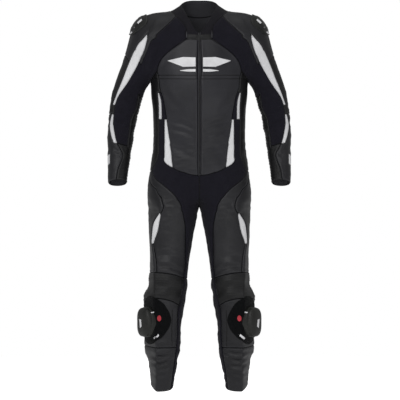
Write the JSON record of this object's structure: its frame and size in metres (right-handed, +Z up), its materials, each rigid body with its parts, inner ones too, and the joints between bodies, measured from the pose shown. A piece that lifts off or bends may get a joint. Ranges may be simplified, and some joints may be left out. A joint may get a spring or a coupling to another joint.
{
  "type": "motorcycle race suit",
  "caption": "One-piece leather motorcycle race suit, filled out as worn, with raglan sleeves, white flashes, moulded shoulder cups and knee sliders",
  "frame": {"origin": "at the base of the neck, between the shoulders, where the wearer carries the suit", "axes": "+Z up towards the collar, -Y out of the chest, +X towards the wearer's left arm"},
  "size_m": [0.6838, 0.2517, 1.4573],
  "materials": {
    "leather": "fine grained, semi-matte",
    "side_leather": "fine grained, semi-matte",
    "white_leather": "smooth, semi-matte",
    "stretch_cloth": "fine ribbed weave, matte",
    "collar_cloth": "soft knit, matte",
    "zip": "matte",
    "moulded_plastic": "satin",
    "hook_and_loop": "short pile, matte"
  },
  "bodies": {
    "root": {"zip": "zip", "front_left": "leather", "front_right": "leather", "back": "side_leather", "side_left": "side_leather", "stretch_left": "stretch_cloth", "rib_flash_left": "white_leather", "waist_flash_left": "white_leather", "thigh_front_left": "leather", "thigh_outer_left": "leather", "seat_left": "side_leather", "side_right": "side_leather", "stretch_right": "stretch_cloth", "rib_flash_right": "white_leather", "waist_flash_right": "white_leather", "thigh_front_right": "leather", "thigh_outer_right": "leather", "seat_right": "side_leather", "thigh_flash_left": "white_leather", "calf_inner_left": "stretch_cloth", "over_knee_left": "leather", "calf_left": "side_leather", "knee_left": "leather", "shin_left": "leather", "thigh_flash_right": "white_leather", "calf_inner_right": "stretch_cloth", "over_knee_right": "leather", "calf_right": "side_leather", "knee_right": "leather", "shin_right": "leather", "sleeve_stretch_left": "stretch_cloth", "yoke_left": "leather", "shoulder_panel_left": "side_leather", "arm_flash_left": "white_leather", "upper_sleeve_left": "side_leather", "inner_forearm_left": "side_leather", "elbow_flash_left": "white_leather", "forearm_front_left": "leather", "forearm_back_left": "side_leather", "forearm_flash_left": "white_leather", "sleeve_stretch_right": "stretch_cloth", "yoke_right": "leather", "shoulder_panel_right": "side_leather", "arm_flash_right": "white_leather", "upper_sleeve_right": "side_leather", "inner_forearm_right": "side_leather", "elbow_flash_right": "white_leather", "forearm_front_right": "leather", "forearm_back_right": "side_leather", "forearm_flash_right": "white_leather", "collar": "collar_cloth", "collar_tab": "leather", "knee_patch_left": "hook_and_loop", "knee_slider_left": "moulded_plastic", "shoulder_cup_left": "moulded_plastic", "knee_patch_right": "hook_and_loop", "knee_slider_right": "moulded_plastic", "shoulder_cup_right": "moulded_plastic"}
  },
  "joints": []
}
